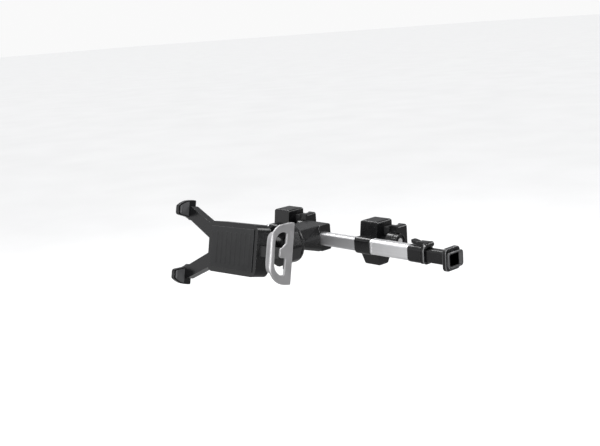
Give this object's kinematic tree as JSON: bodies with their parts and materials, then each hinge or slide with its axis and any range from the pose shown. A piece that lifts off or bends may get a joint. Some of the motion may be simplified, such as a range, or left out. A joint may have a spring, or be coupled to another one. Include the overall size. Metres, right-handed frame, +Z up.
{
  "type": "headrest tablet holder",
  "caption": "Telescopic arm with two post clamps and a ball head that carries a sprung cradle with claws and a pull handle.",
  "frame": {"origin": "on the right post's axis, level with the arm's centre line", "axes": "+Z up along the post, +X along the arm towards its flared end, +Y back towards the seat"},
  "size_m": [0.3629, 0.1823, 0.1122],
  "materials": {
    "black_plastic": "satin moulded",
    "silver_plastic": "satin painted plastic",
    "grip_rubber": "matte",
    "tube_aluminium": "satin anodised",
    "bar_aluminium": "satin anodised",
    "steel_fixings": "bright zinc plated",
    "brass_insert": "turned"
  },
  "bodies": {
    "arm": {"right_clamp_body": "black_plastic", "right_pad": "grip_rubber", "right_insert": "brass_insert", "outer_tube": "tube_aluminium", "lock_sleeve": "black_plastic", "lock_ring": "black_plastic", "lever_pin": "steel_fixings", "arm_screws": "steel_fixings"},
    "right_jaw_group": {"right_jaw": "black_plastic", "right_jaw_pad": "grip_rubber"},
    "right_knob_group": {"right_knob": "black_plastic", "right_clamp_screw": "steel_fixings"},
    "lever": {"lock_lever": "black_plastic"},
    "sliding_arm": {"inner_bar": "bar_aluminium", "bar_cap": "black_plastic", "left_clamp_body": "black_plastic", "left_pad": "grip_rubber", "left_insert": "brass_insert", "left_arm_screw": "steel_fixings", "tail_bar": "black_plastic", "end_grip": "black_plastic"},
    "left_jaw_group": {"left_jaw": "black_plastic", "left_jaw_pad": "grip_rubber"},
    "left_knob_group": {"left_knob": "black_plastic", "left_clamp_screw": "steel_fixings"},
    "head": {"head_block": "black_plastic", "head_screw": "steel_fixings"},
    "nut": {"ring_nut": "black_plastic"},
    "liner": {"ball_liner": "grip_rubber"},
    "stud": {"ball_stud": "black_plastic", "stud_washer": "steel_fixings", "stud_screw": "steel_fixings"},
    "cradle": {"cradle_body": "black_plastic", "back_cover": "black_plastic", "cover_screws": "steel_fixings", "rest_pad": "grip_rubber", "claw_pads": "grip_rubber", "return_springs": "steel_fixings"},
    "handle_group": {"handle_slider": "black_plastic", "handle": "silver_plastic", "handle_screws": "steel_fixings"}
  },
  "joints": [
    {"name": "right_jaw_slide", "type": "slide", "parent": "arm", "child": "right_jaw_group", "axis": [1, 0, 0], "range_m": [0, 0.009]},
    {"name": "right_knob_turn", "type": "hinge", "parent": "right_jaw_group", "child": "right_knob_group", "pos_m": [0.0159, -0.011, 0.006], "axis": [1, 0, 0], "continuous": true},
    {"name": "lever_flip", "type": "hinge", "parent": "arm", "child": "lever", "pos_m": [0.0776, -0.0282, 0.01235], "axis": [0, 1, 0], "range_deg": [0, 100]},
    {"name": "arm_slide", "type": "slide", "parent": "arm", "child": "sliding_arm", "axis": [1, 0, 0], "range_m": [-0.022, 0.028]},
    {"name": "left_jaw_slide", "type": "slide", "parent": "sliding_arm", "child": "left_jaw_group", "axis": [1, 0, 0], "range_m": [0, 0.009]},
    {"name": "left_knob_turn", "type": "hinge", "parent": "left_jaw_group", "child": "left_knob_group", "pos_m": [-0.1451, -0.011, 0.006], "axis": [1, 0, 0], "continuous": true},
    {"name": "head_slide", "type": "slide", "parent": "sliding_arm", "child": "head", "axis": [1, 0, 0], "range_m": [0, 0.029]},
    {"name": "ring_turn", "type": "hinge", "parent": "head", "child": "nut", "pos_m": [-0.1197, -0.0795, 0], "axis": [0, -1, 0], "range_deg": [0, 90]},
    {"name": "ball_pan", "type": "hinge", "parent": "head", "child": "liner", "pos_m": [-0.1197, -0.0795, 0], "axis": [0, 0, 1], "range_deg": [-15, 15]},
    {"name": "ball_tilt", "type": "hinge", "parent": "liner", "child": "stud", "pos_m": [-0.1197, -0.0795, 0], "axis": [1, 0, 0], "range_deg": [-11, 26]},
    {"name": "cradle_spin", "type": "hinge", "parent": "stud", "child": "cradle", "pos_m": [-0.1197, -0.0795, 0], "axis": [0, 0.973, -0.2307], "range_deg": [-90, 90]},
    {"name": "handle_slide", "type": "slide", "parent": "cradle", "child": "handle_group", "axis": [0.9994, 0.0081, 0.034], "range_m": [-0.031, 0.008], "stiffness_N_per_m": 60, "springref_m": -0.075}
  ],
  "couplings": [
    {"joint": "right_knob_turn", "follows": "right_jaw_slide", "rad_per_m": 4188.8},
    {"joint": "left_knob_turn", "follows": "left_jaw_slide", "rad_per_m": 4188.8}
  ]
}
